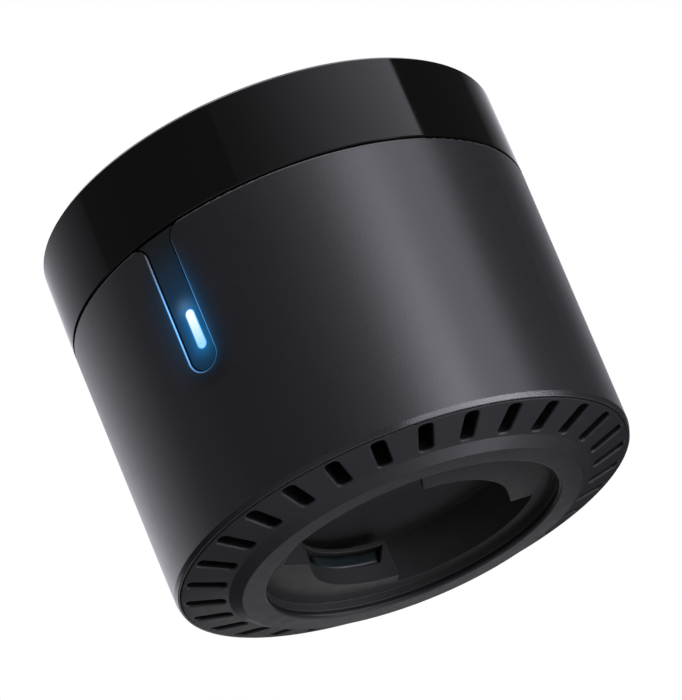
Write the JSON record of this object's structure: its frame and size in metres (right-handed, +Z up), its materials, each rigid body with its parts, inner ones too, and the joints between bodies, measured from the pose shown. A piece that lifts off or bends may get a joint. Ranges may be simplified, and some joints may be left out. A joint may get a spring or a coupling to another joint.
{
  "type": "infrared remote hub",
  "caption": "Round desktop infrared hub with a glossy cap, matte shell, lit front slot, vented base and twist-lock socket underneath.",
  "frame": {"origin": "centre of the foot ring, on the plane that it stands on", "axes": "+Z up, -Y towards the slot with the light, +Y towards the power inlet and the reset button"},
  "size_m": [0.05, 0.05, 0.0418],
  "materials": {
    "shell_plastic": "fine matte",
    "cap_plastic": "polished, lets infrared through",
    "strip_plastic": "satin",
    "light_plastic": "clear, lit",
    "base_plastic": "fine matte",
    "socket_plastic": "fine matte",
    "grip_rubber": "smooth",
    "board_green": "solder mask",
    "chip_black": "moulded",
    "tinned_steel": "tinned",
    "gold_plate": "gold plated",
    "zinc_steel": "zinc plated",
    "capacitor_can": "drawn",
    "ferrite": "sintered",
    "led_white": "lit",
    "infrared_epoxy": "clear dark blue",
    "receiver_epoxy": "moulded",
    "carrier_plastic": "moulded",
    "button_plastic": "satin"
  },
  "bodies": {
    "hub": {"body_shell": "shell_plastic", "top_cap": "cap_plastic", "slot_insert": "strip_plastic", "light_guide": "light_plastic", "base_plate": "base_plastic", "bayonet_socket": "socket_plastic", "grip_strip_right": "grip_rubber", "grip_strip_left": "grip_rubber", "main_board": "board_green", "board_screws": "zinc_steel", "wifi_board": "board_green", "wifi_chip": "chip_black", "shield_can": "tinned_steel", "flash_chip": "chip_black", "crystal": "tinned_steel", "regulator": "chip_black", "inductor": "ferrite", "capacitor": "capacitor_can", "status_led": "led_white", "usb_socket": "tinned_steel", "usb_tongue": "chip_black", "usb_contacts": "gold_plate", "riser_board": "board_green", "driver_transistors": "chip_black", "reset_switch": "chip_black", "emitter_board": "board_green", "emitter_screws": "zinc_steel", "led_carrier": "carrier_plastic", "ir_led_1": "infrared_epoxy", "ir_led_2": "infrared_epoxy", "ir_led_3": "infrared_epoxy", "ir_led_4": "infrared_epoxy", "ir_led_5": "infrared_epoxy", "ir_led_6": "infrared_epoxy", "ir_led_top": "infrared_epoxy", "ir_receiver": "receiver_epoxy"},
    "reset_key": {"reset_button": "button_plastic", "switch_plunger": "button_plastic"}
  },
  "joints": [
    {"name": "reset_press", "type": "slide", "parent": "hub", "child": "reset_key", "axis": [0, -1, 0], "range_m": [0, 0.0004], "stiffness_N_per_m": 4000, "springref_m": -0.0001}
  ]
}
